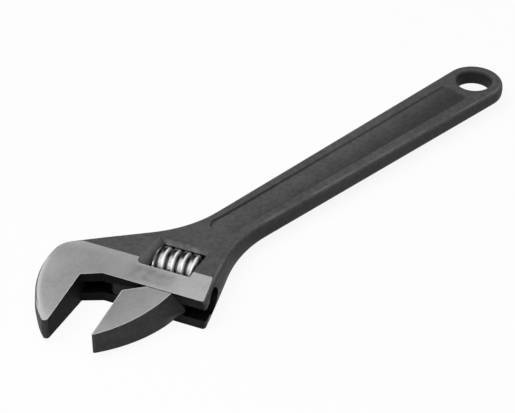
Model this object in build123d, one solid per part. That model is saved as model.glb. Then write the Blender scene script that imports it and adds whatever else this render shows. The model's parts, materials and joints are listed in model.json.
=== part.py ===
from build123d import *
import math
import os

# Adjustable wrench of the twelve-inch size, in five pieces: the forged body, the movable jaw,
# the adjusting worm, the pin the worm turns on, and the spring that loads the worm.
# Lengths are in millimetres and angles in degrees.
#
# Drawing frame: the hang hole is at the origin, the handle runs along X with the head at -X,
# and Z = 0 is the middle of the forging.
# Head frame: x runs across the mouth away from the fixed jaw, y runs from the front edge of the
# head's band towards the handle, so the jaw tips are at negative y.

# Handle
HOLE_TO_HEAD = 253.6  # from the hang hole to the corner between jaw and band, along the handle
HEAD_RISE = 19.1  # that corner's height above the handle's centre line
JAW_ANGLE = 22.5  # the jaws' turn from the handle
END_RADIUS = 15.6  # round end of the handle, at the parting line
HANDLE_TAPER = 1.2  # each side, narrowing towards the head
HOLE_RADIUS = 9.15
HOLE_CHAMFER = 0.7
NECK_RADIUS = 62.0  # sweep from handle to head, both sides
FLARE_ANGLE = 30.5  # sides of the head from the handle's centre line
EDGE_ROUND = 2.4  # forged edges
DRAFT = 5.0  # sides of the forging, from the parting line

# Thickness, counted from the middle
HEAD_HALF = 8.52  # ground faces of the head
NECK_HALF = 5.15
END_HALF = 4.2
JAW_SLOPE = 0.08  # ground faces thin towards the jaw tips, per side
GROUND_BLEND = 220.0  # radius that eases the level band into the sloping jaws

# Sunk panel on each side of the handle
PANEL_START = 15.5  # from the hang hole
PANEL_SHORT_OF_HEAD = 67.0  # its far end, from the head's corner
PANEL_START_HALF = 7.5  # half its width at the hang hole, at the foot of its walls
PANEL_END_HALF = 5.0  # the same at its far end
PANEL_START_ROUND = 2.0
PANEL_END_ROUND = 4.0
PANEL_DEPTH = 0.9
PANEL_WALL = 40.0  # lean of its walls

# Head
BAND_WIDTH = 17.45  # ground band behind the jaws
BAND_END = 62.6  # length of the band at its front edge
BAND_END_ROUND = 0.8  # corner between the band's front and the near side of the head
HEEL_X = -19.9  # back of the fixed jaw
HEEL_Y = 13.35
HEEL_RADIUS = 12.0
JAW_BACK_RADIUS = 54.5
JAW_LENGTH = 37.4
JAW_TIP_WIDTH = 3.0  # fixed jaw at its tip, before its corners are rounded
JAW_TIP_ROUND = 1.0  # corner between its tip and its back
JAW_FACE_ROUND = 1.5  # corner between its tip and its face
THROAT_X = 9.31  # fillet block in the throat
THROAT_Y = 4.62

# Slide
BORE_Y = 11.4
BORE_RADIUS = 6.6
BORE_START = -9.4
ROD_CLEARANCE = 0.08
SLOT_HALF = 3.5
NECK_CLEARANCE = 0.15
SEAT_GAP = 0.15  # movable jaw above the band's front edge
NOSE_ROOM = -11.2  # end of the closed pocket the web's nose runs into
NOSE_ROOM_FRONT = 0.25

# Movable jaw, drawn at the opening the mouth rests at
OPENING = 23.0
SLIDER_LENGTH = 37.2
SLIDER_BASE = 23.0  # its width at the band
SLIDER_BACK_RADIUS = 70.0
SLIDER_DRAFT = 6.0
SLIDER_CHAMFER_X = 10.3
SLIDER_CHAMFER_Y = 7.0
ROD_LENGTH = 41.0
ROD_OFFSET = -9.0  # rod's inner end, from the jaw face
NOSE_START = -11.0  # rounded nose of the web between jaw and rod, from the jaw face
NOSE_ROUND = 3.5
WEB_START = 8.0
WEB_END = 27.2
ROOT_LENGTH = 14.0  # swelling at the jaw's foot, along its back
ROOT_SWELL = 6.0
ROOT_CROWN = 1.15  # fullness of the swelling: 1 for a ridge, 2 for a round back

# Worm and rack
WORM_RADIUS = 9.3
WORM_CENTRE_X = 36.2
WORM_LENGTH = 22.8
WORM_END_PLAY = 0.3
PITCH = 5.0
THREAD_DEPTH = 2.0
CREST_WIDTH = 3.0
FLANK_ANGLE = 12.0
CREST_SHIFT = -0.75  # crest facing the rack, from the worm's middle
ENGAGEMENT = 1.7  # how far the crests reach into the rack
FLANK_CLEARANCE = 0.18
FLOOR_CLEARANCE = 0.3
NOTCH_FRONT = 13.2  # front edge of the worm's window in the band
RELIEF_RADIUS = 10.5  # thumb reliefs beside the worm
RELIEF_DEPTH = 4.6
RELIEF_LENGTH = 17.2  # along the worm, half of it outside the window
RELIEF_OVERLAP = 4.0  # from the window's side to the reliefs' middle
BEVEL_FOOT = 4.2  # height at which the window's rear wall starts to lean back
BEVEL_WIDTH = 1.9

# Pin and spring
PIN_RADIUS = 2.45
PIN_CLEARANCE = 0.05
PIN_BLIND_X = 15.0
SPRING_WIRE = 0.35
SPRING_RADIUS = 3.3
SPRING_TURNS = 4.0
SPRING_POCKET_RADIUS = 4.1
SPRING_POCKET_DEPTH = 5.2

# Sizes that follow from the ones above
ROD_RADIUS = BORE_RADIUS - ROD_CLEARANCE
WORM_Y = BORE_Y + ROD_RADIUS - ENGAGEMENT + WORM_RADIUS
WINDOW_REAR = WORM_Y + WORM_RADIUS + 0.5
WINDOW_LEFT = WORM_CENTRE_X - WORM_LENGTH / 2 - WORM_END_PLAY
WINDOW_RIGHT = WORM_CENTRE_X + WORM_LENGTH / 2 + WORM_END_PLAY
HEAD = Location((-HOLE_TO_HEAD, HEAD_RISE, 0), (0, 0, JAW_ANGLE - 90))
WORM_AXIS = Plane(origin=(WORM_CENTRE_X, WORM_Y, 0), x_dir=(0, -1, 0), z_dir=(1, 0, 0))
REACH = 200.0  # long enough to pass right through the head


def head_point(x, y):
    """Head frame to drawing frame, in plan."""
    position = (HEAD * Location((x, y, 0))).position
    return Vector(position.X, position.Y)


def crossing(point_a, angle_a, point_b, angle_b):
    """Where two lines in plan cross, each given by a point and a direction."""
    ax, ay = math.cos(math.radians(angle_a)), math.sin(math.radians(angle_a))
    bx, by = math.cos(math.radians(angle_b)), math.sin(math.radians(angle_b))
    apart = point_b - point_a
    along = (apart.X * by - apart.Y * bx) / (ax * by - ay * bx)
    return Vector(point_a.X + along * ax, point_a.Y + along * ay)


def box_between(x0, x1, y0, y1, z0, z1):
    box = Box(x1 - x0, y1 - y0, z1 - z0)
    return Pos((x0 + x1) / 2, (y0 + y1) / 2, (z0 + z1) / 2) * box


def rod_along_x(x0, x1, y, z, radius):
    return Pos((x0 + x1) / 2, y, z) * Rot(0, 90, 0) * Cylinder(radius, x1 - x0)


def both_sides(upper):
    return upper + mirror(upper, Plane.XY)


def drafted_plate(outline, draft):
    """Plate about the parting line, its sides leaning in towards both faces."""
    face = outline.faces()[0]
    if face.normal_at().Z < 0:
        face = -face
    return both_sides(extrude(face, amount=HEAD_HALF + 3.5, taper=draft))


def forging_outline():
    """The body in plan at the parting line, with stock left in the mouth."""
    lean = math.radians(HANDLE_TAPER)
    end_far = Vector(-END_RADIUS * math.sin(lean), END_RADIUS * math.cos(lean))
    end_near = Vector(end_far.X, -end_far.Y)
    heel = head_point(HEEL_X, HEEL_Y)
    near_corner = head_point(BAND_END, 0)
    neck_far = crossing(end_far, 180 + HANDLE_TAPER, heel, 180 - FLARE_ANGLE)
    neck_near = crossing(end_near, 180 - HANDLE_TAPER, near_corner, 180 + FLARE_ANGLE)
    tip = head_point(-JAW_TIP_WIDTH, -JAW_LENGTH)
    jaw_centre = RadiusArc(heel, tip, -JAW_BACK_RADIUS).arc_center
    beyond_tip = jaw_centre + (tip - jaw_centre).rotate(Axis.Z, 5)
    mouth_line = head_point(0, -8)
    near_front = crossing(near_corner, 180 + FLARE_ANGLE, mouth_line, JAW_ANGLE - 90)
    outline = make_face(
        [
            Line(end_far, neck_far),
            Line(neck_far, heel),
            ThreePointArc(heel, tip, beyond_tip),
            Line(beyond_tip, near_front),
            Line(near_front, neck_near),
            Line(neck_near, end_near),
            ThreePointArc(end_near, (END_RADIUS, 0), end_far),
        ]
    )
    corners = ((neck_far, NECK_RADIUS), (neck_near, NECK_RADIUS), (heel, HEEL_RADIUS))
    for corner, radius in corners:
        outline = fillet(outline.vertices().sort_by_distance(corner)[0], radius)
    return outline


def thickness_slab(drop):
    """Everything below the forged top surface and above its mirror, lowered by drop."""
    neck_y = BAND_WIDTH * 4.3
    slope = (END_HALF - NECK_HALF) / (HOLE_TO_HEAD * math.cos(math.radians(JAW_ANGLE)) - neck_y)
    far_y = HOLE_TO_HEAD + 60
    heights = [
        (-70, HEAD_HALF + 0.7),
        (0, HEAD_HALF + 0.3),
        (BAND_WIDTH, HEAD_HALF),
        (BAND_WIDTH * 2, HEAD_HALF * 0.6 + NECK_HALF * 0.4),
        (neck_y, NECK_HALF),
    ]
    swell = [(y, z - drop) for y, z in heights]
    thin_end = (far_y, swell[-1][1] + slope * (far_y - neck_y))
    rise = Spline(*swell, tangents=((1, -0.01), (1, slope)))
    run = Line(swell[-1], thin_end)
    middle = Line((far_y, 0), (-70, 0))
    ends = [Line(thin_end, (far_y, 0)), Line((-70, 0), swell[0])]
    section = make_face([rise, run, middle, *ends])
    half = extrude(Plane.YZ * section, amount=REACH * 2, both=True)
    return HEAD * both_sides(half)


def ground_slab():
    """Everything between the ground faces: level over the band, thinner to the jaw tips."""
    front = -80
    far_y = HOLE_TO_HEAD + 100
    thin = HEAD_HALF + front * JAW_SLOPE
    upper = [(front, thin), (0, HEAD_HALF), (far_y, HEAD_HALF)]
    lower = [(y, -z) for y, z in reversed(upper)]
    section = make_face(Polyline(*upper, *lower, close=True))
    section = fillet(section.vertices().sort_by_distance((0, 0))[:2], GROUND_BLEND)
    return extrude(Plane.YZ * section, amount=REACH, both=True)


def forged_edges(blank):
    """Top and bottom edges of the forging, without those in the mouth's stock."""
    edges = ShapeList()
    for edge in blank.edges():
        ends = [HEAD.inverse() * Location(tuple(edge @ t)) for t in (0, 1)]
        near_parting = min(abs(end.position.Z) for end in ends) < END_HALF / 2
        in_stock = max(end.position.Y for end in ends) < -6 and edge.length > 40
        if not near_parting and not in_stock:
            edges.append(edge)
    return edges


def tip_edges(forging, on_back):
    """Upright edges at the fixed jaw's tip, at its back or at its face."""
    edges = ShapeList()
    for edge in forging.edges():
        middle = (HEAD.inverse() * Location(tuple(edge @ 0.5))).position
        at_tip = middle.Y < 0.01 - JAW_LENGTH and (middle.X < -1) == on_back
        if at_tip and abs((edge % 0.5).Z) > 0.9:
            edges.append(edge)
    return edges


def band_end_edges(forging):
    """Upright edges where the band's front meets the near side of the head."""
    edges = ShapeList()
    for edge in forging.edges():
        middle = (HEAD.inverse() * Location(tuple(edge @ 0.5))).position
        at_end = abs(middle.Y) < 0.01 and abs(middle.X - BAND_END) < 2
        if at_end and abs((edge % 0.5).Z) > 0.9:
            edges.append(edge)
    return edges


def panel_cutter():
    """Sunk panel of one side: leaning walls, floor at an even depth below the surface."""
    x_near = -PANEL_START
    x_far = -HOLE_TO_HEAD + PANEL_SHORT_OF_HEAD
    corners = [
        (x_near, PANEL_START_HALF),
        (x_far, PANEL_END_HALF),
        (x_far, -PANEL_END_HALF),
        (x_near, -PANEL_START_HALF),
    ]
    foot = make_face(Polyline(*corners, close=True))
    foot = fillet(foot.vertices().sort_by(Axis.X)[:2], PANEL_END_ROUND)
    foot = fillet(foot.vertices().sort_by(Axis.X)[-2:], PANEL_START_ROUND)
    rise = 6.0
    spread = rise * math.tan(math.radians(PANEL_WALL))
    top_height = END_HALF - PANEL_DEPTH + rise
    mouth = Pos(0, 0, -top_height) * offset(foot, amount=spread)
    upside_down = extrude(mouth.faces()[0], amount=rise, taper=PANEL_WALL)
    cutter = mirror(upside_down, Plane.XY)
    return cutter - thickness_slab(PANEL_DEPTH)


def hang_hole():
    reach = END_HALF + 3
    through = Cylinder(HOLE_RADIUS, reach * 2)
    flare = Pos(0, 0, END_HALF - HOLE_CHAMFER + 2) * Cone(HOLE_RADIUS, HOLE_RADIUS + 4, 4)
    return through + both_sides(flare)


def mouth_stock():
    """Space between the jaws, with the throat's block left standing."""
    corners = [(0, -90), (0, -THROAT_Y), (THROAT_X, 0), (REACH, 0), (REACH, -90)]
    space = make_face(Polyline(*corners, close=True))
    beyond_tip = box_between(-REACH, REACH, -REACH, -JAW_LENGTH, -REACH, REACH)
    return extrude(space, amount=REACH, both=True) + beyond_tip


def slide_way():
    """Keyhole the movable jaw slides in: round bore, the slot that opens it, and a pocket behind."""
    bore = rod_along_x(BORE_START, REACH, BORE_Y, 0, BORE_RADIUS)
    slot = box_between(0, REACH, -20, BORE_Y, -SLOT_HALF, SLOT_HALF)
    pocket_back = BORE_Y + NECK_CLEARANCE
    pocket = box_between(NOSE_ROOM, 1, NOSE_ROOM_FRONT, pocket_back, -SLOT_HALF, SLOT_HALF)
    return bore + slot + pocket


def in_front_of_bevel():
    """Everything above the parting line and in front of the window's leaning rear edge."""
    top = HEAD_HALF + 8
    rear = WINDOW_REAR + BEVEL_WIDTH * (top - BEVEL_FOOT) / (HEAD_HALF - BEVEL_FOOT)
    corners = [(NOTCH_FRONT, 0), (WINDOW_REAR, 0), (WINDOW_REAR, BEVEL_FOOT), (rear, top), (NOTCH_FRONT, top)]
    section = make_face(Polyline(*corners, close=True))
    return extrude(Plane.YZ * section, amount=REACH, both=True)


def worm_window():
    """Opening the worm stands in, with thumb reliefs beside it and a bevelled rear edge."""
    window = box_between(WINDOW_LEFT, WINDOW_RIGHT, NOTCH_FRONT, WINDOW_REAR, -20, 20)
    bevel = box_between(WINDOW_LEFT, WINDOW_RIGHT, NOTCH_FRONT, WINDOW_REAR + 8, 0.1, HEAD_HALF + 4)
    depth = WINDOW_REAR + BEVEL_WIDTH - NOTCH_FRONT
    middle = Pos(WINDOW_LEFT + RELIEF_OVERLAP, NOTCH_FRONT + depth / 2)
    relief = middle * extrude(RectangleRounded(RELIEF_LENGTH, depth, 3), amount=HEAD_HALF + 4)
    scoop = Rot(90, 0, 0) * Cylinder(RELIEF_RADIUS, depth + 2)
    relief = relief & (middle * Pos(0, 0, HEAD_HALF + RELIEF_RADIUS - RELIEF_DEPTH) * scoop)
    return window + both_sides((bevel + relief) & in_front_of_bevel())


def pin_hole():
    return rod_along_x(PIN_BLIND_X, REACH, WORM_Y, 0, PIN_RADIUS + PIN_CLEARANCE)


def forged_blank():
    """The forging with its edges rounded and its head ground, before anything is cut."""
    blank = drafted_plate(forging_outline(), DRAFT) & thickness_slab(0)
    forging = blank.fillet(EDGE_ROUND, forged_edges(blank))
    return forging & (HEAD * ground_slab())


def make_body(blank):
    forging = blank - HEAD * mouth_stock()
    forging = forging.fillet(JAW_TIP_ROUND, tip_edges(forging, True))
    forging = forging.fillet(JAW_FACE_ROUND, tip_edges(forging, False))
    forging = forging.fillet(BAND_END_ROUND, band_end_edges(forging))
    forging = forging - HEAD * slide_way()
    forging = forging - HEAD * worm_window()
    forging = forging - HEAD * pin_hole()
    forging = forging - both_sides(panel_cutter())
    return forging - hang_hole()


def slider_back():
    """Outer side of the movable jaw in plan, at the parting line."""
    foot, tip = (OPENING + SLIDER_BASE + 0.8, 4), (OPENING - 1.5, -SLIDER_LENGTH - 2.8)
    return RadiusArc(foot, tip, SLIDER_BACK_RADIUS)


def slider_blank():
    """Movable jaw in front of the band, outer side drafted, faces not yet cut."""
    back = slider_back()
    foot, tip = back @ 0, back @ 1
    inside = OPENING - 12
    outline = make_face(
        [
            back,
            Line(tip, (inside, tip.Y)),
            Line((inside, tip.Y), (inside, foot.Y)),
            Line((inside, foot.Y), foot),
        ]
    )
    return drafted_plate(outline, SLIDER_DRAFT) & ground_slab()


def slider_cuts():
    """Jaw face, throat chamfer, base and tip of the movable jaw."""
    face = box_between(-REACH, OPENING, -REACH, REACH, -REACH, REACH)
    base = box_between(-REACH, REACH, -SEAT_GAP, REACH, -REACH, REACH)
    tip = box_between(-REACH, REACH, -REACH, -SLIDER_LENGTH, -REACH, REACH)
    corner = [(-1, -SLIDER_CHAMFER_Y), (0, -SLIDER_CHAMFER_Y), (SLIDER_CHAMFER_X, 0), (-1, 0)]
    chamfer_face = Pos(OPENING, 0) * make_face(Polyline(*corner, close=True))
    return face + base + tip + extrude(chamfer_face, amount=REACH, both=True)


def root_section(y):
    """Swelling at the jaw's foot, cut across at y: a crowned side that grows towards the foot."""
    centre = slider_back().arc_center
    side = centre.X + math.sqrt(SLIDER_BACK_RADIUS**2 - (y - centre.Y) ** 2)
    growth = (1 + y / ROOT_LENGTH) ** 2
    half = HEAD_HALF + 0.4
    edge = side - half * math.tan(math.radians(SLIDER_DRAFT)) - 0.9
    crown = side + ROOT_SWELL * growth - 0.3 * (1 - growth)
    steps = [k / 4 for k in range(-4, 5)]
    points = [(edge + (crown - edge) * (1 - abs(t) ** ROOT_CROWN), -half * t) for t in steps]
    inside = OPENING + SLIDER_CHAMFER_X + 2
    rest = Polyline(points[-1], (inside, -half), (inside, half), points[0])
    plane = Plane(origin=(0, y, 0), x_dir=(1, 0, 0), z_dir=(0, -1, 0))
    return plane * make_face([Spline(*points), rest])


def slider_root():
    """Swelling at the foot of the movable jaw, where the web leaves it."""
    stations = [-SEAT_GAP, -0.3 * ROOT_LENGTH, -0.6 * ROOT_LENGTH, -ROOT_LENGTH]
    return loft([root_section(y) for y in stations]) & ground_slab()


def rack_grooves():
    """Grooves for the worm's thread, slanted by its lead angle."""
    lean = math.tan(math.radians(FLANK_ANGLE))
    front = WORM_Y - WORM_RADIUS - FLOOR_CLEARANCE
    back = BORE_Y + BORE_RADIUS + 0.5
    half_front = CREST_WIDTH / 2 - FLOOR_CLEARANCE * lean + FLANK_CLEARANCE
    half_back = half_front + (back - front) * lean
    corners = [(-half_front, front), (half_front, front), (half_back, back), (-half_back, back)]
    groove = extrude(make_face(Polyline(*corners, close=True)), amount=9, both=True)
    mesh_radius = WORM_RADIUS - ENGAGEMENT / 2
    lead_angle = math.degrees(math.atan(PITCH / (2 * math.pi * mesh_radius)))
    first = WORM_CENTRE_X + CREST_SHIFT
    rod_start, rod_end = OPENING + ROD_OFFSET, OPENING + ROD_OFFSET + ROD_LENGTH
    grooves = []
    for step in range(-8, 9):
        x = first + step * PITCH
        if rod_start - PITCH / 2 < x < rod_end + PITCH / 2:
            grooves.append(Pos(x, 0, 0) * Rot(0, -lead_angle, 0) * groove)
    return grooves


def make_movable_jaw():
    jaw = slider_blank() - slider_cuts() + slider_root()
    rod_start = OPENING + ROD_OFFSET
    rod = rod_along_x(rod_start, rod_start + ROD_LENGTH, BORE_Y, 0, ROD_RADIUS)
    rod = chamfer(rod.edges().filter_by(GeomType.CIRCLE), 0.6)
    half = SLOT_HALF - NECK_CLEARANCE
    web = box_between(OPENING + WEB_START, OPENING + WEB_END, -SEAT_GAP, BORE_Y, -half, half)
    nose_front = NOSE_ROOM_FRONT + SEAT_GAP
    nose = box_between(OPENING + NOSE_START, OPENING + WEB_END, nose_front, BORE_Y, -half, half)
    nose = fillet(nose.edges().filter_by(Axis.Z).sort_by_distance((0, 0, 0))[0], NOSE_ROUND)
    web_top = OPENING + SLIDER_CHAMFER_X + 0.5
    web = web + box_between(web_top, OPENING + 20, -2, BORE_Y, -half, half)
    rack = rod + web + nose
    for groove in rack_grooves():
        rack = rack - groove
    return HEAD * (jaw + rack)


def thread_form():
    """The worm's thread in section, its root sunk a little into the core."""
    lean = math.tan(math.radians(FLANK_ANGLE))
    root = WORM_RADIUS - THREAD_DEPTH - 0.3
    half_crest = CREST_WIDTH / 2
    half_root = half_crest + (WORM_RADIUS - root) * lean
    corners = [
        (root, -half_root),
        (WORM_RADIUS, -half_crest),
        (WORM_RADIUS, half_crest),
        (root, half_root),
    ]
    return Plane.XZ * make_face(Polyline(*corners, close=True))


def make_worm():
    turns = math.ceil(WORM_LENGTH / PITCH / 2) + 1
    start = CREST_SHIFT - turns * PITCH
    path = Helix(PITCH, 2 * turns * PITCH, WORM_RADIUS - THREAD_DEPTH / 2)
    thread = Pos(0, 0, start) * sweep(thread_form(), path=path, is_frenet=True)
    core = Cylinder(WORM_RADIUS - THREAD_DEPTH, (2 * turns + 4) * PITCH)
    ends = Cylinder(WORM_RADIUS + 0.6, WORM_LENGTH)
    ends = chamfer(ends.edges().filter_by(GeomType.CIRCLE), 1.1)
    worm = (core + thread) & ends
    worm = worm - Cylinder(PIN_RADIUS + ROD_CLEARANCE, WORM_LENGTH + 2)
    pocket_middle = -WORM_LENGTH / 2 + SPRING_POCKET_DEPTH / 2
    pocket = Pos(0, 0, pocket_middle) * Cylinder(SPRING_POCKET_RADIUS, SPRING_POCKET_DEPTH)
    return HEAD * (WORM_AXIS * (worm - pocket))


def make_pin(blank):
    """Plain pin, finished flush with the side of the head."""
    pin = rod_along_x(PIN_BLIND_X + 0.3, REACH, WORM_Y, 0, PIN_RADIUS)
    return (HEAD * pin) & blank


def make_spring():
    length = SPRING_POCKET_DEPTH + WORM_END_PLAY - 2 * SPRING_WIRE - 0.1
    path = Helix(length / SPRING_TURNS, length, SPRING_RADIUS)
    section = Plane(origin=path @ 0, z_dir=path % 0) * Circle(SPRING_WIRE)
    coil = sweep(section, path=path, is_frenet=True)
    start = -WORM_LENGTH / 2 - WORM_END_PLAY + SPRING_WIRE + 0.05
    return HEAD * (WORM_AXIS * (Pos(0, 0, start) * coil))


def main():
    blank = forged_blank()
    pieces = {
        "wrench_body": make_body(blank),
        "movable_jaw": make_movable_jaw(),
        "adjusting_worm": make_worm(),
        "worm_pin": make_pin(blank),
        "worm_spring": make_spring(),
    }
    boxes = [shape.bounding_box() for shape in pieces.values()]
    middle_x = (min(b.min.X for b in boxes) + max(b.max.X for b in boxes)) / 2
    middle_y = (min(b.min.Y for b in boxes) + max(b.max.Y for b in boxes)) / 2
    lowest = min(b.min.Z for b in boxes)
    to_shared = Pos(-middle_x, -middle_y, -lowest)
    os.makedirs("parts", exist_ok=True)
    for name, shape in pieces.items():
        export_step(to_shared * shape, f"parts/{name}.step")


if __name__ == "__main__":
    main()
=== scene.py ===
import bmesh
import bpy
import json
import math
import numpy as np
from mathutils import Matrix, Vector


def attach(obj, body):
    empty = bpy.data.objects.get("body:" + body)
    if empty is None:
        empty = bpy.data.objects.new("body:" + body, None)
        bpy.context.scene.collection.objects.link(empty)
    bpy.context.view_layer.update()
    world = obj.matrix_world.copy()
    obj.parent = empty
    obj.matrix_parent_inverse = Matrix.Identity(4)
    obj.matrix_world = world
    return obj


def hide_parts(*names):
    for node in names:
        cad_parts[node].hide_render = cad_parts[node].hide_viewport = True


# Adjustable wrench lying flat: black forged body and jaw with ground steel faces, and a bright
# knurled worm between them. Values multiplied by MM are lengths in metres.

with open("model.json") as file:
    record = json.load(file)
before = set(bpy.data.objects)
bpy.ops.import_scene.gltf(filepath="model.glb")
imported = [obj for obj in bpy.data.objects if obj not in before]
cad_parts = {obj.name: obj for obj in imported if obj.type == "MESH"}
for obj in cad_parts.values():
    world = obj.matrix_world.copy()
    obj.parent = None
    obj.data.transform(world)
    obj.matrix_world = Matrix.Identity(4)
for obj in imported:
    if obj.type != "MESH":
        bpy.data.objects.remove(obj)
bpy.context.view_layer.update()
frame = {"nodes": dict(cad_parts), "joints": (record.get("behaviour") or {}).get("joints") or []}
nodes = frame["nodes"]

MM = 0.001

# View
IMAGE_WIDTH = 515
FOCAL_PIXELS = 1900.0
SENSOR_WIDTH = 36.0
CAMERA_PLACE = Vector((-531.37, -530.298, 581.17)) * MM
CAMERA_TARGET = Vector((-18.95, 2.872, 9.30)) * MM

# Studio, with its lengths in metres
SOFTBOX_PLACE = Vector((-0.63, 0.0, 1.565))
SOFTBOX_SIZE = 2.4
SOFTBOX_WATTS = 34
FLOOR_REACH = 6.0
FLOOR_TONE = 0.11  # of the floor as a source of light
FLOOR_GLOW = 0.9  # share of the floor's white that shadows don't reach
WORLD_AS_LAMP = 0.08
BRIGHT_SIDE = Vector((0.068, -0.951, 0.302))  # side that polished metal finds bright
BRIGHT_EDGE = (-0.09, 0.01)  # over which it turns into the dim side
DIM_LEVEL = 0.05

# Head of the wrench: its corner between fixed jaw and band, and the way its axes run
HEAD_CORNER = Vector((-116.786, 17.274, 9.3)) * MM
JAW_TURN = math.radians(22.5 - 90)
ACROSS = Vector((math.cos(JAW_TURN), math.sin(JAW_TURN), 0))
BACKWARD = Vector((-math.sin(JAW_TURN), math.cos(JAW_TURN), 0))
UPWARD = Vector((0, 0, 1))
MOUTH = HEAD_CORNER + 10 * MM * ACROSS - 14 * MM * BACKWARD
JAW_BACK_CENTRE = HEAD_CORNER + 33.6 * MM * ACROSS + 2.98 * MM * BACKWARD
JAW_BACK_RADIUS = 53.85 * MM  # of the fixed jaw's back, at its ground faces

# Faces of the head that differ from the forging, in millimetres of the head's axes
HEAD_HALF = 8.52
JAW_SLOPE = 0.08
JAW_LENGTH = 38.0
GROUND_EASE = 8.8  # half the run over which the level band turns into the sloping jaws
GROUND_DEPTH = 0.25  # below the ground planes, within which a face counts as ground
GROUND_TILT = 0.03  # from the ground planes, within which it does
BAND_WIDTH = 17.45
THROAT_ACROSS = 9.4  # just past where the slanting throat meets the band
THROAT_BACK = -4.7  # and where it meets the fixed jaw
SLOT_HALF = 3.5
SLOT_FRONT = -5.0
BORE_BACK = 11.4
BORE_RADIUS = 6.6
SLIDE_START = -12.0  # blind end of the bore and its slot, beyond the throat
WINDOW_ACROSS = (24.5, 47.9)
WINDOW_BACK = (13.2, 35.32)
BEVEL_WIDTH = 1.9
SCOOP_ACROSS = (19.9, 24.5)
SCOOP_TOP = HEAD_HALF + 0.3
ROOT_ACROSS = 36.0
ROOT_LENGTH = 14.0
ROOT_END = -0.5
FLUSH = 0.05  # distance from a plane within which a face lies on it
MARGIN = 0.1  # around the outline of an opening

# Handle, in millimetres of the shared frame
HANDLE_Y = -1.826
PANEL_X = (-51.0, 121.3)
PANEL_HALF_WIDTH = (6.2, 7.9)  # at its two ends
WALL_WIDTH = 1.0
HOLE_X = 136.81
HOLE_RADIUS = 9.15
HOLE_CHAMFER = 0.75

# Directions of faces, as the part of the normal along an axis
SQUARE = 0.99
LEVEL = 0.9
SLOPING = 0.5
SLANTED = 0.3
STEEP = 0.2
LEANING = 0.1
UPRIGHT = 0.05

# Finishes
SCALE_GLOSS = 0.14
SCALE_BUMP = (0.22 * MM, 0.08 * MM)  # depth of the mottle and of the grain of forging scale
HANDLE_WEAR = 3.2 * MM  # over which the handle's edges read as rounded
WORN_FROM = (-75 * MM, -35 * MM)  # along the handle, where that wear sets in
GROUND_TONES = (0.33, 0.75)  # of ground steel, at its darkest and lightest
EDGE_HIGHLIGHT_TONE = 0.72  # of painted highlights along ground edges and towards the fixed jaw's back
OILED_TONE = 0.3  # of oily marks on ground steel
SEAM_TONE = 0.04  # of oil in the seam between movable jaw and band
RIM_TONE = 0.2  # of the rim that grinding didn't reach
KNURL_TONES = (0.17, 0.3)
FLANK_TONE = 0.85  # of the worm's polished flanks
GROOVE_OIL_AND_SHADE_TONE = 0.03  # of oil and painted shade at the foot of its thread

# Worm
WORM_RADIUS = 9.3 * MM
WORM_ROOT = 7.3 * MM
WORM_LENGTH = 22.8 * MM
WORM_PITCH = 5.0 * MM
WORM_CREST = 3.0 * MM
WORM_FLANK = math.radians(12)
WORM_END_CHAMFER = 1.8 * MM
WORM_BORE = 2.53 * MM
BORE_SIDES = 64
SPRING_POCKET = 4.1 * MM
SPRING_POCKET_DEPTH = 5.2 * MM
CREST_SHIFT = -0.75 * MM
CREST_COLUMNS = 10
CREST_ROUND = (0.4 * MM, 1.5 * MM)  # on the two sides of the crest
CREST_TURNS = (0, 20, 40, 60, 78)  # degrees over a rounded side, from the crest to the flank
ROOT_ROUND = 0.2 * MM
KNURL_TEETH = 84
KNURL_STEPS = 5  # points for each tooth
KNURL_DEPTH = 0.07 * MM
KNURL_FLAT = 0.75  # height at which a tooth is cut flat
SPARE_TURNS = 3  # of thread, cut off at the ends
SHORTEST_EDGE = 0.002 * MM
SHARP_ANGLE = math.radians(35)

# Inputs and output of a mixing node for each kind of value
MIX_SOCKETS = {"FLOAT": (2, 3, 0), "VECTOR": (4, 5, 1), "RGBA": (6, 7, 2)}


def tree_of(name):
    """New material with an empty Principled shader, as (material, node tree, shader)."""
    material = bpy.data.materials.new(name)
    material.use_nodes = True
    tree = material.node_tree
    return material, tree, tree.nodes["Principled BSDF"]


def plug(tree, socket, value):
    """Gives a socket another node's output, or a value of its own."""
    if isinstance(value, bpy.types.NodeSocket):
        tree.links.new(value, socket)
    else:
        socket.default_value = value


def grey(level):
    return (level, level, level, 1)


def noise(tree, place, scale, detail=3.0, roughness=0.55):
    made = tree.nodes.new("ShaderNodeTexNoise")
    plug(tree, made.inputs["Vector"], place)
    made.inputs["Scale"].default_value = scale
    made.inputs["Detail"].default_value = detail
    made.inputs["Roughness"].default_value = roughness
    return made.outputs["Fac"]


def ramp(tree, factor, low, high, to_low=0.0, to_high=1.0):
    """Maps low..high of a factor to to_low..to_high, held at the ends."""
    made = tree.nodes.new("ShaderNodeMapRange")
    made.interpolation_type = "SMOOTHSTEP"
    plug(tree, made.inputs["Value"], factor)
    made.inputs["From Min"].default_value = low
    made.inputs["From Max"].default_value = high
    made.inputs["To Min"].default_value = to_low
    made.inputs["To Max"].default_value = to_high
    return made.outputs["Result"]


def noise_range(tree, factor, to_low=0.0, to_high=1.0):
    """Maps the range that most of a noise lies in to to_low..to_high."""
    return ramp(tree, factor, 0.3, 0.7, to_low, to_high)


def math_of(tree, operation, a, b):
    made = tree.nodes.new("ShaderNodeMath")
    made.operation = operation
    plug(tree, made.inputs[0], a)
    plug(tree, made.inputs[1], b)
    return made.outputs["Value"]


def total(tree, parts):
    """Sum of several factors."""
    result = parts[0]
    for part in parts[1:]:
        result = math_of(tree, "ADD", result, part)
    return result


def product(tree, parts):
    """Product of several factors."""
    result = parts[0]
    for part in parts[1:]:
        result = math_of(tree, "MULTIPLY", result, part)
    return result


def between(tree, length, start, end):
    """1 between a start and an end, each (0 at, 1 at) in millimetres, and 0 outside them."""
    rise = ramp(tree, length, start[0] * MM, start[1] * MM)
    fall = ramp(tree, length, end[0] * MM, end[1] * MM)
    return product(tree, [rise, fall])


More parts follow.
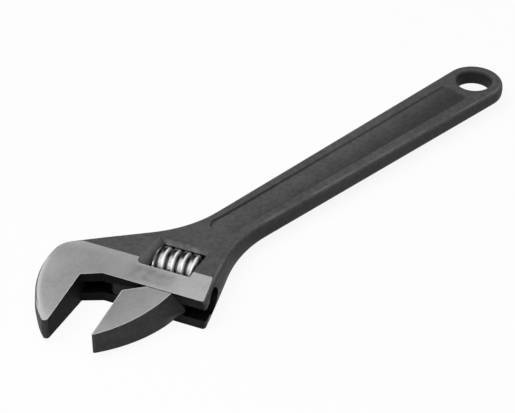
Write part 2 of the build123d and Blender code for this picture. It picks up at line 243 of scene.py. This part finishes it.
def vector_of(tree, operation, a, b, output="Vector"):
    made = tree.nodes.new("ShaderNodeVectorMath")
    made.operation = operation
    plug(tree, made.inputs[0], a)
    plug(tree, made.inputs[1], b)
    return made.outputs[output]


def mix(tree, factor, a, b, kind="RGBA"):
    """Blend of the colours, numbers or vectors a and b by a factor."""
    made = tree.nodes.new("ShaderNodeMix")
    made.data_type = kind
    first, second, result = MIX_SOCKETS[kind]
    plug(tree, made.inputs[0], factor)
    plug(tree, made.inputs[first], a)
    plug(tree, made.inputs[second], b)
    return made.outputs[result]


def object_place(tree, stretch=(1, 1, 1), turn=0.0):
    """Object coordinates, turned about the vertical and stretched."""
    place = tree.nodes.new("ShaderNodeTexCoord").outputs["Object"]
    mapping = tree.nodes.new("ShaderNodeMapping")
    mapping.vector_type = "POINT"
    mapping.inputs["Rotation"].default_value = (0, 0, turn)
    mapping.inputs["Scale"].default_value = stretch
    tree.links.new(place, mapping.inputs["Vector"])
    return mapping.outputs["Vector"]


def along_axis(tree, vector, name):
    """One of a vector's X, Y and Z."""
    parts = tree.nodes.new("ShaderNodeSeparateXYZ")
    tree.links.new(vector, parts.inputs["Vector"])
    return parts.outputs[name]


def flat_normal(tree):
    return tree.nodes.new("ShaderNodeNewGeometry").outputs["Normal"]


def eased_normal(tree, radius, samples):
    """Normal that turns over edges as if they had a radius."""
    made = tree.nodes.new("ShaderNodeBevel")
    made.samples = samples
    made.inputs["Radius"].default_value = radius
    return made.outputs["Normal"]


def edge_mask(tree, radius):
    """1 on edges sharper than the radius, 0 on flat metal."""
    eased = eased_normal(tree, radius, 6)
    turned = vector_of(tree, "DOT_PRODUCT", eased, flat_normal(tree), "Value")
    return ramp(tree, turned, 0.985, 0.86)


def painted_shade_mask(tree, reach, shut, clear):
    """1 on open metal, 0 deep in corners, where painted shade darkens the colour."""
    made = tree.nodes.new("ShaderNodeAmbientOcclusion")
    made.samples = 8
    made.inputs["Distance"].default_value = reach
    return ramp(tree, made.outputs["AO"], shut, clear)


def shoulder_mask(tree):
    """1 where a forged edge starts to round over from the face, 0 on faces and sides."""
    level = math_of(tree, "ABSOLUTE", along_axis(tree, flat_normal(tree), "Z"), 0.0)
    return product(tree, [ramp(tree, level, 0.99, 0.9), ramp(tree, level, 0.55, 0.8)])


def worn_normal(tree, place):
    """Normal that eases over the worn edges of the handle and leaves the head's edges sharp."""
    worn = ramp(tree, along_axis(tree, place, "X"), *WORN_FROM)
    return mix(tree, worn, flat_normal(tree), eased_normal(tree, HANDLE_WEAR, 8), "VECTOR")


def bump(tree, shader, layers, normal=None):
    """Stacks bump layers, each (height, depth), on the shader's normal or on one given."""
    for height, depth in layers:
        made = tree.nodes.new("ShaderNodeBump")
        made.inputs["Distance"].default_value = depth
        tree.links.new(height, made.inputs["Height"])
        if normal is not None:
            tree.links.new(normal, made.inputs["Normal"])
        normal = made.outputs["Normal"]
    tree.links.new(normal, shader.inputs["Normal"])


def forging_shades(tree, place):
    """Mottled shade of blackened scale, with the mottle and grain it is made of."""
    broad = noise(tree, place, scale=45, detail=2)
    mottle = noise(tree, place, scale=380, detail=4, roughness=0.6)
    grain = noise(tree, place, scale=1500, roughness=0.6)
    shade = total(
        tree,
        [
            ramp(tree, mottle, 0.36, 0.64, 0, 0.45),
            ramp(tree, broad, 0.36, 0.64, 0, 0.25),
            ramp(tree, grain, 0.34, 0.66, 0, 0.3),
        ],
    )
    return shade, mottle, grain


def scale_wear(tree, place):
    """1 where the scale is rubbed off shoulders and chipped off edges, 0 where it is whole."""
    chips = noise(tree, place, scale=620, detail=5, roughness=0.7)
    patch = noise(tree, object_place(tree, stretch=(0.35, 1, 1)), scale=160)
    wear = total(tree, [ramp(tree, patch, 0.4, 0.62, 0.15, 0.75), ramp(tree, chips, 0.5, 0.66, 0, 0.5)])
    rub = product(tree, [shoulder_mask(tree), wear])
    chip = product(tree, [edge_mask(tree, 0.6 * MM), ramp(tree, chips, 0.4, 0.6, 0.1, 0.6)])
    return math_of(tree, "MAXIMUM", rub, chip)


def black_forging(name, dark, light, rubbed, gloss=SCALE_GLOSS):
    """Scaled and blackened forging: matt, mottled, rubbed grey along its shoulders, darkened with painted
    shade deep in its corners.
    """
    material, tree, shader = tree_of(name)
    place = object_place(tree)
    shade, mottle, grain = forging_shades(tree, place)
    colour = mix(tree, shade, grey(dark), grey(light))
    colour = mix(tree, scale_wear(tree, place), colour, grey(rubbed))
    # painted shade: darker deep in corners
    colour = mix(tree, painted_shade_mask(tree, 6 * MM, 0.35, 0.92), grey(dark * 0.4), colour)
    plug(tree, shader.inputs["Base Color"], colour)
    plug(tree, shader.inputs["Roughness"], ramp(tree, grain, 0.25, 0.75, 0.5, 0.66))
    shader.inputs["Specular IOR Level"].default_value = gloss
    bump(tree, shader, zip((mottle, grain), SCALE_BUMP), worn_normal(tree, place))
    return material


def hollow_forging(name, start, end, at_start, at_end):
    """Scale of a hollow, darkened with painted shade in its corners, whose dark and light tones change
    along a run to paint its light and shade.
    """
    material, tree, shader = tree_of(name)
    place = object_place(tree)
    shade, mottle, grain = forging_shades(tree, place)
    run = end - start
    along = vector_of(tree, "DOT_PRODUCT", vector_of(tree, "SUBTRACT", place, start), run, "Value")
    first = mix(tree, shade, grey(at_start[0]), grey(at_start[1]))
    last = mix(tree, shade, grey(at_end[0]), grey(at_end[1]))
    colour = mix(tree, ramp(tree, along, 0, run.length_squared), first, last)
    # painted shade: darker deep in corners
    colour = mix(tree, painted_shade_mask(tree, 2 * MM, 0.55, 0.95), grey(at_end[0]), colour)
    plug(tree, shader.inputs["Base Color"], colour)
    plug(tree, shader.inputs["Roughness"], ramp(tree, grain, 0.25, 0.75, 0.48, 0.62))
    shader.inputs["Specular IOR Level"].default_value = SCALE_GLOSS
    bump(tree, shader, zip((mottle, grain), SCALE_BUMP))
    return material


def shaded_panel_forging():
    """Floor of the panel, with painted shade: darker along one side and towards the hang hole."""
    start = Vector((7, HANDLE_Y + 4.6, 0)) * MM
    end = start + Vector((1.3, -16.6, 0)) * MM
    return hollow_forging("shaded_panel_forging", start, end, at_start=(0.066, 0.121), at_end=(0.032, 0.062))


def shaded_wall_forging():
    """Walls of the panel, painted dark as a shadow line, darkest by the head."""
    start = Vector((-50, 0, 0)) * MM
    end = Vector((50, 0, 0)) * MM
    return hollow_forging("shaded_wall_forging", start, end, at_start=(0.022, 0.043), at_end=(0.046, 0.082))


# Hollow for the thumb: painted light at its outer border, painted shade towards the worm.
def lit_and_shaded_scoop_forging():
    start = HEAD_CORNER + SCOOP_ACROSS[0] * MM * ACROSS
    end = HEAD_CORNER + SCOOP_ACROSS[1] * MM * ACROSS
    return hollow_forging("lit_and_shaded_scoop_forging", start, end, at_start=(0.13, 0.21), at_end=(0.028, 0.052))


# Bevel behind the worm's window: painted light, lightest at the window's edge.
def lit_bevel_forging():
    start = HEAD_CORNER + WINDOW_BACK[1] * MM * BACKWARD
    end = start + BEVEL_WIDTH * MM * BACKWARD
    return hollow_forging("lit_bevel_forging", start, end, at_start=(0.12, 0.3), at_end=(0.06, 0.12))


# Swelling at the movable jaw's foot: painted shade, darkening towards the band.
def shaded_root_forging():
    start = HEAD_CORNER - ROOT_LENGTH * MM * BACKWARD
    return hollow_forging("shaded_root_forging", start, HEAD_CORNER, at_start=(0.066, 0.12), at_end=(0.013, 0.026))


def thumb_marks(tree, place, across, back):
    """1 where fingers at the worm have left oil on the band, 0 on clean steel."""
    marks = ramp(tree, noise(tree, place, scale=210), 0.4, 0.62, 0.3, 0.7)
    along = between(tree, across, (16, 25), (45, 37))
    beside = between(tree, back, (1, 4), (13, 10))
    return product(tree, [marks, along, beside])


def eased_back(tree, place, back, colour):
    """The fixed jaw's back edge: painted light brightens the steel towards it, and it is left black where
    grinding didn't reach.
    """
    from_centre = vector_of(tree, "SUBTRACT", place, JAW_BACK_CENTRE)
    level = vector_of(tree, "CROSS_PRODUCT", from_centre, UPWARD)
    reach = vector_of(tree, "LENGTH", level, (0, 0, 0), "Value")
    closeness = ramp(tree, reach, JAW_BACK_RADIUS - 6 * MM, JAW_BACK_RADIUS - 0.7 * MM)
    glow = product(
        tree,
        [
            math_of(tree, "POWER", closeness, 4.0),
            ramp(tree, back, -38 * MM, -24 * MM, 0.4, 1.0),
            ramp(tree, back, 6 * MM, -6 * MM, 0.3, 1.0),
        ],
    )
    colour = mix(tree, glow, colour, grey(EDGE_HIGHLIGHT_TONE))
    rim = ramp(tree, reach, JAW_BACK_RADIUS - 0.9 * MM, JAW_BACK_RADIUS - 0.6 * MM)
    rim = product(tree, [rim, between(tree, back, (0, -8), (-32, -25))])
    return mix(tree, rim, colour, grey(RIM_TONE))


def ground_shade(tree, place, back, noises):
    """Shade of ground steel: random tone, with painted light and shade: dark by the mouth, lighter to the
    jaws' tips and the band's rear.
    """
    from_mouth = vector_of(tree, "DISTANCE", place, MOUTH, "Value")
    lines, cloud, speck = noises
    shades = [
        ramp(tree, from_mouth, 13 * MM, 32 * MM, 0, 0.45),
        ramp(tree, from_mouth, 28 * MM, 48 * MM, 0, 0.45),
        ramp(tree, back, 10 * MM, 16 * MM, 0, 0.22),
        ramp(tree, back, -26 * MM, -36 * MM, 0, 0.25),
        noise_range(tree, cloud, 0, 0.25),
        noise_range(tree, lines, 0, 0.3),
        noise_range(tree, speck, -0.08, 0.12),
    ]
    return product(tree, [total(tree, shades), 0.5])


def ground_steel(name, level, seam):
    """Ground faces: satin steel with fine lines, faint smudges and painted highlights along the edges.

    The edge that a seam lies along is dark with oil instead.
    """
    material, tree, shader = tree_of(name)
    place = object_place(tree)
    from_corner = vector_of(tree, "SUBTRACT", place, HEAD_CORNER)
    across = vector_of(tree, "DOT_PRODUCT", from_corner, ACROSS, "Value")
    back = vector_of(tree, "DOT_PRODUCT", from_corner, BACKWARD, "Value")
    lines = noise(tree, object_place(tree, (1, 22, 1), -JAW_TURN), scale=320, roughness=0.6)
    cloud = noise(tree, place, scale=70)
    speck = noise(tree, place, scale=620, detail=2)
    shade = ground_shade(tree, place, back, (lines, cloud, speck))
    dark, light = GROUND_TONES
    colour = mix(tree, shade, grey(dark * level), grey(light * level))
    smudge = product(tree, [ramp(tree, speck, 0.62, 0.75), ramp(tree, cloud, 0.5, 0.7)])
    colour = mix(tree, smudge, colour, grey(OILED_TONE * level))
    colour = mix(tree, thumb_marks(tree, place, across, back), colour, grey(OILED_TONE * level))
    # painted highlight along the edges
    colour = mix(tree, edge_mask(tree, 1.1 * MM), colour, grey(EDGE_HIGHLIGHT_TONE))
    colour = eased_back(tree, place, back, colour)
    if seam:
        colour = mix(tree, ramp(tree, back, -0.7 * MM, -0.3 * MM), colour, grey(SEAM_TONE))
    plug(tree, shader.inputs["Base Color"], colour)
    shader.inputs["Metallic"].default_value = 1.0
    plug(tree, shader.inputs["Roughness"], noise_range(tree, lines, 0.5, 0.6))
    bump(tree, shader, [(lines, 0.012 * MM)])
    return material


def bright_steel(centre):
    """Turned and polished crests of the worm, dark between them with oil and painted shade."""
    material, tree, shader = tree_of("bright_steel")
    place = object_place(tree)
    cloud = noise(tree, place, scale=500)
    fine = noise(tree, place, scale=2600, detail=2)
    offset = vector_of(tree, "SUBTRACT", place, centre)
    reach = vector_of(tree, "CROSS_PRODUCT", offset, ACROSS)
    reach = vector_of(tree, "LENGTH", reach, (0, 0, 0), "Value")
    polish = ramp(tree, reach, WORM_RADIUS - 1.8 * MM, WORM_RADIUS - 1.0 * MM)
    knurled = ramp(tree, reach, WORM_RADIUS - 0.22 * MM, WORM_RADIUS - 0.1 * MM)
    dull = mix(tree, noise_range(tree, cloud), grey(KNURL_TONES[0]), grey(KNURL_TONES[1]))
    bright = mix(tree, knurled, grey(FLANK_TONE), dull)
    # painted shade, with oil, between the crests
    plug(tree, shader.inputs["Base Color"], mix(tree, polish, grey(GROOVE_OIL_AND_SHADE_TONE), bright))
    shader.inputs["Metallic"].default_value = 1.0
    roughness = mix(tree, knurled, 0.36, noise_range(tree, cloud, 0.18, 0.28), "FLOAT")
    plug(tree, shader.inputs["Roughness"], roughness)
    bump(tree, shader, [(fine, 0.02 * MM)])
    return material


def dull_steel(name, level, roughness):
    """Machined steel in the slide, rack and spring, dulled by oil; in the slide and rack it is darkened
    further as painted shade.
    """
    material, tree, shader = tree_of(name)
    cloud = noise(tree, object_place(tree), scale=400)
    colour = mix(tree, noise_range(tree, cloud), grey(level * 0.8), grey(level * 1.2))
    plug(tree, shader.inputs["Base Color"], colour)
    shader.inputs["Metallic"].default_value = 1.0
    plug(tree, shader.inputs["Roughness"], noise_range(tree, cloud, roughness - 0.06, roughness + 0.06))
    bump(tree, shader, [(cloud, 0.03 * MM)])
    return material


def face_facts(mesh):
    """Middles and normals of a mesh's faces."""
    middles = np.zeros(len(mesh.polygons) * 3)
    normals = np.zeros(len(mesh.polygons) * 3)
    mesh.polygons.foreach_get("center", middles)
    mesh.polygons.foreach_get("normal", normals)
    return middles.reshape(-1, 3), normals.reshape(-1, 3)


def to_head(vectors):
    """Vectors of the shared frame along the head's axes: across, back, up."""
    axes = np.array([ACROSS, BACKWARD, UPWARD])
    return vectors @ axes.T


def head_facts(node):
    """Middles, in millimetres from the head's corner, and normals of a node's faces in the head's axes."""
    middles, normals = face_facts(node.data)
    return to_head(middles - np.array(HEAD_CORNER)) / MM, to_head(normals)


def within(value, span, margin=0.0):
    """Which values lie between the two ends of a span, widened by a margin."""
    return (value > span[0] - margin) & (value < span[1] + margin)


def ground_faces(place, normal):
    """Faces on the ground planes of the head, with the ease between band and jaws."""
    back = place[:, 1]
    half = HEAD_HALF + JAW_SLOPE * np.minimum(back, 0)
    tilt = JAW_SLOPE * np.clip(0.5 - back / (2 * GROUND_EASE), 0, 1)
    level = np.hypot(normal[:, 0], normal[:, 1] + tilt) < GROUND_TILT
    return level & (np.abs(place[:, 2]) > half - GROUND_DEPTH) & (back < BAND_WIDTH)


def slide_faces(place, normal):
    """Walls of the bore, of its slot and of the worm's window."""
    across, back, up = place.T
    lean = np.abs(normal[:, 2])
    in_bore = (np.hypot(back - BORE_BACK, up) < BORE_RADIUS + FLUSH) & (across > SLIDE_START)
    on_slot = (np.abs(np.abs(up) - SLOT_HALF) < FLUSH) & (lean > LEVEL)
    on_slot &= within(back, (SLOT_FRONT, BORE_BACK)) & (across > SLIDE_START)
    in_window = within(across, WINDOW_ACROSS, MARGIN) & within(back, WINDOW_BACK, MARGIN)
    return in_bore | on_slot | (in_window & (lean < STEEP))


def worked_faces(place, normal):
    """Jaw faces, throat and front of the band: cut smooth before blackening, and painted near black as the
    shade of the mouth.
    """
    across, back = place[:, 0], place[:, 1]
    upright = np.abs(normal[:, 2]) < UPRIGHT
    in_mouth = (across > -MARGIN) & within(back, (-JAW_LENGTH, MARGIN))
    jaw = (np.abs(across) < FLUSH) & (normal[:, 0] > SQUARE)
    front = (np.abs(back) < FLUSH) & (normal[:, 1] < -SQUARE)
    throat = (across < THROAT_ACROSS) & (back > THROAT_BACK) & (normal[:, 1] < -SLOPING)
    return upright & in_mouth & (jaw | front | throat)


def lip_faces(place, normal):
    """Front of the band on both sides of the slot, beyond the movable jaw."""
    across, back = place[:, 0], place[:, 1]
    return (np.abs(back) < FLUSH) & (normal[:, 1] < -SQUARE) & (across > ROOT_ACROSS)


def bevel_faces(place, normal):
    """Rough bevel along the rear edge of the worm's window."""
    rear = (WINDOW_BACK[1], WINDOW_BACK[1] + BEVEL_WIDTH)
    inside = within(place[:, 0], WINDOW_ACROSS) & within(place[:, 1], rear)
    return inside & (np.abs(normal[:, 1]) > SLANTED) & (np.abs(normal[:, 2]) > SLANTED)


def scoop_faces(place, normal):
    """Hollow for the thumb beside the worm."""
    across, back, up = place.T
    inside = within(across, (SCOOP_ACROSS[0], SCOOP_ACROSS[1] + MARGIN))
    inside &= within(back, (WINDOW_BACK[0] - MARGIN, WINDOW_BACK[1] + BEVEL_WIDTH))
    inside &= np.abs(up) < SCOOP_TOP
    return inside & (normal[:, 0] > LEANING) & (np.abs(normal[:, 2]) > SLANTED)


def root_faces(place, normal):
    """Swelling at the foot of the movable jaw."""
    across, back = place[:, 0], place[:, 1]
    outward = (normal[:, 0] > LEANING) | (back > ROOT_END)
    return within(back, (-ROOT_LENGTH, MARGIN)) & (across > ROOT_ACROSS) & outward


def hole_faces(middles, normals):
    """Wall of the hang hole and its chamfers."""
    from_middle = np.hypot(middles[:, 0] / MM - HOLE_X, middles[:, 1] / MM - HANDLE_Y)
    return (from_middle < HOLE_RADIUS + HOLE_CHAMFER) & (np.abs(normals[:, 2]) < LEVEL)


def in_panel(middles, margin):
    """Which faces lie over the outline of the handle's panel, widened by a margin."""
    x = middles[:, 0] / MM
    aside = np.abs(middles[:, 1] / MM - HANDLE_Y)
    return within(x, PANEL_X, margin) & (aside < np.interp(x, PANEL_X, PANEL_HALF_WIDTH) + margin)


def panel_faces(middles, normals):
    """Floor of the sunk panel on each side of the handle."""
    return in_panel(middles, 0) & (np.abs(normals[:, 2]) > LEVEL)


def wall_faces(middles, normals):
    """Leaning walls around the sunk panel."""
    return in_panel(middles, WALL_WIDTH) & within(np.abs(normals[:, 2]), (SLOPING, LEVEL))


def paint(node, finishes):
    """Gives a node its materials: the first all over, each later one on the faces it is listed with."""
    mesh = node.data
    mesh.materials.clear()
    index = np.zeros(len(mesh.polygons), dtype=np.int32)
    for slot, (material, faces) in enumerate(finishes):
        mesh.materials.append(material)
        if faces is not None:
            index[faces] = slot
    mesh.polygons.foreach_set("material_index", index)


def paint_body(forging):
    node = nodes["wrench_body"]
    middles, normals = face_facts(node.data)
    place, normal = head_facts(node)
    # painted shade: the hang hole's wall and chamfers darker than the forging
    hole = black_forging("hole_shaded_black", dark=0.02, light=0.04, rubbed=0.06)
    # smooth-cut faces, painted near black as the shade of the mouth
    worked = black_forging("worked_shaded_black", dark=0.006, light=0.012, rubbed=0.03, gloss=0.05)
    # painted shade: front of the band beside the slot, near black
    lip = black_forging("lip_shaded_black", dark=0.014, light=0.026, rubbed=0.04, gloss=0.08)
    finishes = [
        (forging, None),
        (shaded_panel_forging(), panel_faces(middles, normals)),
        (shaded_wall_forging(), wall_faces(middles, normals)),
        (lit_and_shaded_scoop_forging(), scoop_faces(place, normal)),
        (hole, hole_faces(middles, normals)),
        # painted shade: near-black steel in the bore, its slot and the worm's window
        (dull_steel("slide_shaded_steel", level=0.018, roughness=0.5), slide_faces(place, normal)),
        (lit_bevel_forging(), bevel_faces(place, normal)),
        (worked, worked_faces(place, normal)),
        (lip, lip_faces(place, normal)),
        (ground_steel("ground_steel", level=1.0, seam=False), ground_faces(place, normal)),
    ]
    paint(node, finishes)


def paint_jaw(forging):
    node = nodes["movable_jaw"]
    place, normal = head_facts(node)
    rack = place[:, 1] > MARGIN
    finishes = [
        (forging, None),
        (shaded_root_forging(), root_faces(place, normal)),
        # rack and slide inside the band: oily steel, darkened further with painted shade
        (dull_steel("rack_shaded_steel", level=0.022, roughness=0.5), rack),
        (ground_steel("ground_jaw", level=0.8, seam=True), ground_faces(place, normal)),
    ]
    paint(node, finishes)


def paint_pin_and_spring(forging):
    spring = dull_steel("spring_steel", level=0.4, roughness=0.4)
    paint(nodes["worm_pin"], [(forging, None)])
    paint(nodes["worm_spring"], [(spring, None)])


def crest_side(rounding):
    """Section from the crest's flat over its rounded edge and down the flank."""
    half = WORM_CREST / 2
    fall = (WORM_RADIUS - WORM_ROOT) * math.tan(WORM_FLANK)
    points = []
    for turn in CREST_TURNS:
        angle = math.radians(turn)
        offset = half - rounding * (1 - math.sin(angle))
        drop = rounding * (1 - math.cos(angle))
        points.append((offset, WORM_RADIUS - drop, 1 - turn / CREST_TURNS[-1]))
    points.append((half + fall * 0.9, WORM_ROOT + ROOT_ROUND, 0.0))
    points.append((half + fall + ROOT_ROUND, WORM_ROOT, 0.0))
    return points


def worm_profile():
    """Thread section as (offset from the crest's middle, radius, share of knurl) over one pitch."""
    left, right = (crest_side(radius) for radius in CREST_ROUND)
    start, end = -left[0][0], right[0][0]
    step = (end - start) / CREST_COLUMNS
    crest = [(start + step * k, WORM_RADIUS, 1.0) for k in range(1, CREST_COLUMNS)]
    left = [(-offset, radius, share) for offset, radius, share in reversed(left)]
    return left + crest + right


def knurl(angle, along):
    """Depth of the crossed knurl at a point of the crest, from 0 on a tooth to 1 in a groove."""
    slant = KNURL_TEETH / WORM_RADIUS * along
    one = abs(math.sin((KNURL_TEETH * angle + slant) / 2))
    other = abs(math.sin((KNURL_TEETH * angle - slant) / 2))
    return 1 - min(1.0, min(one, other) / KNURL_FLAT)


def thread_points(made, profile, steps, turns):
    """Points of the thread's surface: one row of the profile at each step of a turn."""
    points = []
    for k in range(steps * turns + 1):
        angle = 2 * math.pi * (k / steps - turns / 2)
        for offset, radius, share in profile:
            along = CREST_SHIFT + WORM_PITCH * angle / (2 * math.pi) + offset
            reach = radius - share * KNURL_DEPTH * knurl(angle, along)
            end_limit = WORM_RADIUS - WORM_END_CHAMFER + max(0.0, WORM_LENGTH / 2 - abs(along))
            reach = min(reach, end_limit)
            points.append(made.verts.new((reach * math.cos(angle), reach * math.sin(angle), along)))
    return points


def join_thread(made, points, width, steps):
    """Faces between the thread's rows; each row's end also joins the start of the row a turn on."""
    for k in range(len(points) // width - 1):
        row, following, turn_on = k * width, (k + 1) * width, (k + steps) * width
        for j in range(width - 1):
            a, b = row + j, following + j
            made.faces.new((points[a], points[b], points[b + 1], points[a + 1]))
        if turn_on + width < len(points):
            a, b = row + width - 1, following + width - 1
            made.faces.new((points[a], points[b], points[turn_on + width], points[turn_on]))


def cut_ends(made):
    """Cuts the thread off square at both ends of the worm."""
    for side in (-1, 1):
        bmesh.ops.bisect_plane(
            made,
            geom=made.verts[:] + made.edges[:] + made.faces[:],
            plane_co=(0, 0, side * WORM_LENGTH / 2),
            plane_no=(0, 0, side),
            clear_outer=True,
        )
    bmesh.ops.dissolve_degenerate(made, dist=SHORTEST_EDGE, edges=made.edges[:])


def add_bore(made):
    """Bore for the pin, widened at one end for the spring."""
    low, high = -WORM_LENGTH / 2, WORM_LENGTH / 2
    floor = low + SPRING_POCKET_DEPTH
    rings = [(SPRING_POCKET, low), (SPRING_POCKET, floor), (WORM_BORE, floor), (WORM_BORE, high)]
    turns = [2 * math.pi * k / BORE_SIDES for k in range(BORE_SIDES)]
    loops = []
    for radius, along in rings:
        loops.append([made.verts.new((radius * math.cos(t), radius * math.sin(t), along)) for t in turns])
    for one, other in zip(loops, loops[1:]):
        for k in range(BORE_SIDES):
            n = (k + 1) % BORE_SIDES
            made.faces.new((one[k], one[n], other[n], other[k]))


def close_end(made, along):
    """Ring-shaped end face between the thread's outline and the bore."""
    made.edges.ensure_lookup_table()
    rim = [
        edge
        for edge in made.edges
        if len(edge.link_faces) == 1 and all(abs(v.co.z - along) < SHORTEST_EDGE / 2 for v in edge.verts)
    ]
    bmesh.ops.triangle_fill(made, edges=rim, use_beauty=True)


def worm_mesh():
    """Single-start right-handed worm with a knurled crest, bored for its pin and spring."""
    steps = KNURL_TEETH * KNURL_STEPS
    turns = math.ceil(WORM_LENGTH / WORM_PITCH) + SPARE_TURNS
    profile = worm_profile()
    made = bmesh.new()
    join_thread(made, thread_points(made, profile, steps, turns), len(profile), steps)
    cut_ends(made)
    add_bore(made)
    for side in (-1, 1):
        close_end(made, side * WORM_LENGTH / 2)
    bmesh.ops.recalc_face_normals(made, faces=made.faces[:])
    mesh = bpy.data.meshes.new("worm_knurled")
    made.to_mesh(mesh)
    made.free()
    return mesh


def place_worm():
    """Puts the knurled worm where the plain one stands, crest facing the rack."""
    joint = next(j for j in frame["joints"] if j["name"] == "worm_spin")
    centre = Vector(joint["pos_m"])
    mesh = worm_mesh()
    axes = Matrix((-BACKWARD, -UPWARD, ACROSS)).transposed().to_4x4()
    mesh.transform(Matrix.Translation(centre) @ axes)
    mesh.materials.append(bright_steel(centre))
    for face in mesh.polygons:
        face.use_smooth = True
    mesh.set_sharp_from_angle(angle=SHARP_ANGLE)
    worm = bpy.data.objects.new("knurled_worm", mesh)
    bpy.context.scene.collection.objects.link(worm)
    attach(worm, "worm")
    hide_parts("adjusting_worm")


def seen_directly(tree):
    """1 for rays from the camera, from gloss and through glass, 0 for light that spreads."""
    paths = tree.nodes.new("ShaderNodeLightPath")
    seen = math_of(tree, "MAXIMUM", paths.outputs["Is Camera Ray"], paths.outputs["Is Glossy Ray"])
    return math_of(tree, "MAXIMUM", seen, paths.outputs["Is Transmission Ray"])


def floor_white():
    """Pale floor that reads white in the picture and keeps a soft shadow."""
    material, tree, shader = tree_of("floor")
    seen = seen_directly(tree)
    plug(tree, shader.inputs["Base Color"], mix(tree, seen, grey(FLOOR_TONE), grey(1.0)))
    shader.inputs["Roughness"].default_value = 0.9
    shader.inputs["Specular IOR Level"].default_value = 0.0
    glow = tree.nodes.new("ShaderNodeEmission")
    mixed = tree.nodes.new("ShaderNodeMixShader")
    tree.links.new(product(tree, [seen, FLOOR_GLOW]), mixed.inputs[0])
    tree.links.new(shader.outputs["BSDF"], mixed.inputs[1])
    tree.links.new(glow.outputs["Emission"], mixed.inputs[2])
    tree.links.new(mixed.outputs["Shader"], tree.nodes["Material Output"].inputs["Surface"])
    return material


def make_floor():
    mesh = bpy.data.meshes.new("floor")
    reach = FLOOR_REACH
    corners = [(-reach, -reach, 0), (reach, -reach, 0), (reach, reach, 0), (-reach, reach, 0)]
    mesh.from_pydata(corners, [], [(0, 1, 2, 3)])
    mesh.materials.append(floor_white())
    floor = bpy.data.objects.new("floor", mesh)
    bpy.context.scene.collection.objects.link(floor)


def make_world():
    """White surroundings as the camera and the metal see them, dimmer as a lamp."""
    world = bpy.data.worlds.new("studio")
    bpy.context.scene.world = world
    world.use_nodes = True
    tree = world.node_tree
    ground = tree.nodes["Background"]
    ground.inputs["Color"].default_value = grey(1.0)
    ray = tree.nodes.new("ShaderNodeTexCoord").outputs["Generated"]
    facing = vector_of(tree, "DOT_PRODUCT", ray, BRIGHT_SIDE, "Value")
    mirrored = tree.nodes.new("ShaderNodeLightPath").outputs["Is Glossy Ray"]
    level = mix(tree, mirrored, 1.0, ramp(tree, facing, *BRIGHT_EDGE, DIM_LEVEL, 1.0), "FLOAT")
    spread = ramp(tree, seen_directly(tree), 0, 1, WORLD_AS_LAMP, 1.0)
    plug(tree, ground.inputs["Strength"], product(tree, [level, spread]))


def make_softbox():
    """Round softbox overhead, aimed at the middle of the wrench."""
    lamp = bpy.data.lights.new("overhead", "AREA")
    lamp.shape = "DISK"
    lamp.size = SOFTBOX_SIZE
    lamp.energy = SOFTBOX_WATTS
    softbox = bpy.data.objects.new("overhead", lamp)
    softbox.location = SOFTBOX_PLACE
    softbox.rotation_mode = "QUATERNION"
    softbox.rotation_quaternion = (-SOFTBOX_PLACE).to_track_quat("-Z", "Y")
    bpy.context.scene.collection.objects.link(softbox)


def make_camera():
    lens = bpy.data.cameras.new("camera")
    lens.sensor_width = SENSOR_WIDTH
    lens.sensor_fit = "HORIZONTAL"
    lens.lens = SENSOR_WIDTH * FOCAL_PIXELS / IMAGE_WIDTH
    lens.clip_start = 0.05
    lens.clip_end = 50
    camera = bpy.data.objects.new("camera", lens)
    camera.location = CAMERA_PLACE
    camera.rotation_mode = "QUATERNION"
    camera.rotation_quaternion = (CAMERA_TARGET - CAMERA_PLACE).to_track_quat("-Z", "Y")
    bpy.context.scene.collection.objects.link(camera)
    bpy.context.scene.camera = camera


make_camera()
make_world()
make_floor()
make_softbox()

black = black_forging("black_forging", dark=0.063, light=0.117, rubbed=0.175)
paint_body(black)
paint_jaw(black)
paint_pin_and_spring(black)
place_worm()

bpy.context.scene.view_settings.view_transform = "Standard"
